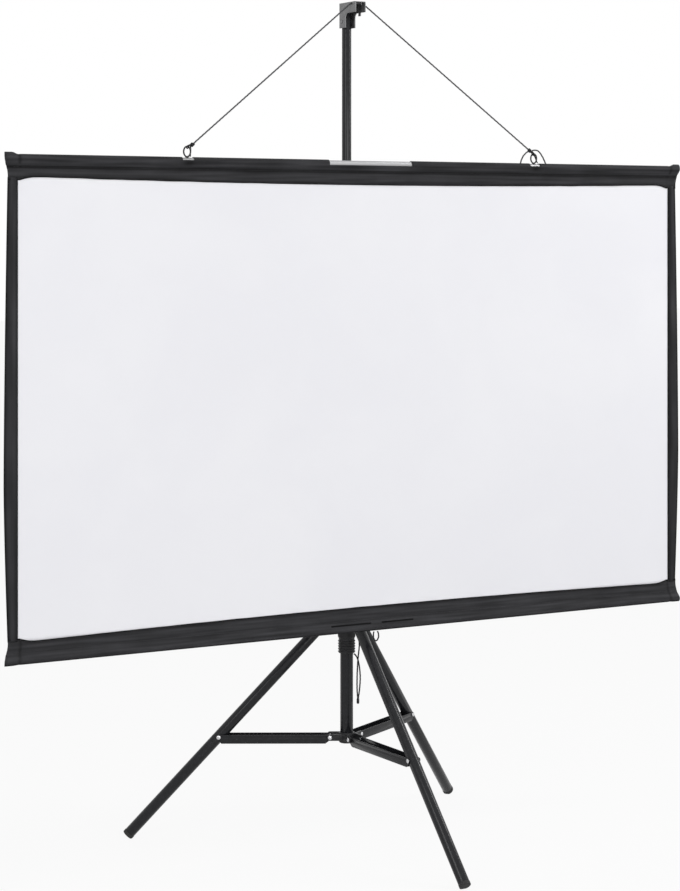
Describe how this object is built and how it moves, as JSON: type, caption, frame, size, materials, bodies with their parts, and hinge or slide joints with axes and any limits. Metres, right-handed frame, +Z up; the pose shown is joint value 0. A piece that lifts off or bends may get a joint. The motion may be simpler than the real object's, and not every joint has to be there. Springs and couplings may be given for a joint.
{
  "type": "tripod projection screen",
  "caption": "White cloth projection screen with a black border, held flat by tubes in its hems and hung by a cord from a telescopic folding tripod stand.",
  "frame": {"origin": "middle of the bounding box on the floor, level with the feet", "axes": "+Z up along the mast, -Y the way the screen faces and the front leg points, +X to the right of a viewer of the screen"},
  "size_m": [1.6542, 0.733, 1.8108],
  "materials": {
    "black_metal": "satin black powder coat",
    "black_plastic": "matt moulded plastic",
    "grey_metal": "grey painted sheet",
    "steel": "bright rivets and bolts",
    "bar_aluminium": "plain drawn tube",
    "rubber": "matt",
    "white_cloth": "matt white coated cloth",
    "black_cloth": "black woven border cloth",
    "dark_cord": "braided cord"
  },
  "bodies": {
    "column": {"column_tube": "black_metal", "column_end_plug": "black_plastic", "leg_hub": "black_plastic", "hub_screw": "steel", "column_clamp": "black_plastic", "tie_cord": "dark_cord", "tie_bead": "black_plastic"},
    "strut_collar": {"strut_collar": "black_plastic", "collar_rivet_front_a": "steel", "collar_rivet_front_b": "steel", "collar_rivet_right_a": "steel", "collar_rivet_right_b": "steel", "collar_rivet_left_a": "steel", "collar_rivet_left_b": "steel"},
    "strut_front": {"strut_front": "black_metal", "strut_front_rivet": "steel"},
    "leg_front": {"leg_front_tube": "black_metal", "leg_front_top": "black_plastic", "leg_front_foot": "rubber"},
    "strut_right": {"strut_right": "black_metal", "strut_right_rivet": "steel"},
    "leg_right": {"leg_right_tube": "black_metal", "leg_right_top": "black_plastic", "leg_right_foot": "rubber"},
    "strut_left": {"strut_left": "black_metal", "strut_left_rivet": "steel"},
    "leg_left": {"leg_left_tube": "black_metal", "leg_left_top": "black_plastic", "leg_left_foot": "rubber"},
    "column_knob": {"column_knob": "black_plastic"},
    "mid_tube": {"mid_tube": "black_metal", "mid_bush": "black_plastic", "mast_clamp": "black_plastic"},
    "mast_knob": {"mast_knob": "black_plastic"},
    "mast_bush": {"mast_bush": "black_plastic"},
    "mast": {"mast_tube": "black_metal", "hook_bracket": "grey_metal", "bracket_bolt": "steel", "hang_cord_saddle": "dark_cord", "hang_cord_left": "dark_cord", "hang_cord_right": "dark_cord", "knot_left": "dark_cord", "knot_right": "dark_cord", "cord_tail": "dark_cord"},
    "screen": {"white_sheet": "white_cloth", "border_left": "black_cloth", "border_right": "black_cloth", "top_hem": "black_cloth", "bottom_hem": "black_cloth", "top_bar": "bar_aluminium", "bottom_bar": "bar_aluminium", "top_bar_plug_left": "black_plastic", "top_bar_plug_right": "black_plastic", "bottom_bar_plug_left": "black_plastic", "bottom_bar_plug_right": "black_plastic", "screw_eye_left": "black_metal", "screw_eye_right": "black_metal", "bottom_loop": "dark_cord"}
  },
  "joints": [
    {"name": "strut_collar_slide", "type": "slide", "parent": "column", "child": "strut_collar", "axis": [0, 0, 1], "range_m": [0, 0.14668]},
    {"name": "strut_front_pivot", "type": "hinge", "parent": "strut_collar", "child": "strut_front", "pos_m": [0, 0.07981, 0.22067], "axis": [1, 0, 0], "range_deg": [0, 90]},
    {"name": "leg_front_pivot", "type": "hinge", "parent": "strut_front", "child": "leg_front", "pos_m": [0, -0.1614, 0.22067], "axis": [-1, 0, 0], "range_deg": [0, 47.2]},
    {"name": "strut_right_pivot", "type": "hinge", "parent": "strut_collar", "child": "strut_right", "pos_m": [0.03118, 0.13381, 0.22067], "axis": [-0.5, 0.866, 0], "range_deg": [0, 90]},
    {"name": "leg_right_pivot", "type": "hinge", "parent": "strut_right", "child": "leg_right", "pos_m": [0.24006, 0.25441, 0.22067], "axis": [0.5, -0.866, 0], "range_deg": [0, 47.2]},
    {"name": "strut_left_pivot", "type": "hinge", "parent": "strut_collar", "child": "strut_left", "pos_m": [-0.03118, 0.13381, 0.22067], "axis": [-0.5, -0.866, 0], "range_deg": [0, 90]},
    {"name": "leg_left_pivot", "type": "hinge", "parent": "strut_left", "child": "leg_left", "pos_m": [-0.24006, 0.25441, 0.22067], "axis": [0.5, 0.866, 0], "range_deg": [0, 47.2]},
    {"name": "mid_tube_slide", "type": "slide", "parent": "column", "child": "mid_tube", "axis": [0, 0, 1], "range_m": [-0.0035, 0.25]},
    {"name": "column_knob_turn", "type": "hinge", "parent": "column", "child": "column_knob", "pos_m": [0, 0.1558, 0.92367], "axis": [0, 1, 0], "range_deg": [0, 540]},
    {"name": "mast_slide", "type": "slide", "parent": "mid_tube", "child": "mast_bush", "axis": [0, 0, 1], "range_m": [-0.0035, 0.3]},
    {"name": "mast_knob_turn", "type": "hinge", "parent": "mid_tube", "child": "mast_knob", "pos_m": [0, 0.1558, 1.34867], "axis": [0, 1, 0], "range_deg": [0, 540]},
    {"name": "mast_swivel", "type": "hinge", "parent": "mast_bush", "child": "mast", "pos_m": [0, 0.11581, 1.33667], "axis": [0, 0, 1], "range_deg": [-180, 180]},
    {"name": "screen_swing", "type": "hinge", "parent": "mast", "child": "screen", "pos_m": [0, 0.01681, 1.48904], "axis": [-1, 0, 0], "range_deg": [-1, 30]}
  ],
  "couplings": [
    {"joint": "strut_front_pivot", "follows": "strut_collar_slide", "rad_per_m": 10.709},
    {"joint": "leg_front_pivot", "follows": "strut_collar_slide", "rad_per_m": 5.6163},
    {"joint": "strut_right_pivot", "follows": "strut_collar_slide", "rad_per_m": 10.709},
    {"joint": "leg_right_pivot", "follows": "strut_collar_slide", "rad_per_m": 5.6163},
    {"joint": "strut_left_pivot", "follows": "strut_collar_slide", "rad_per_m": 10.709},
    {"joint": "leg_left_pivot", "follows": "strut_collar_slide", "rad_per_m": 5.6163}
  ]
}
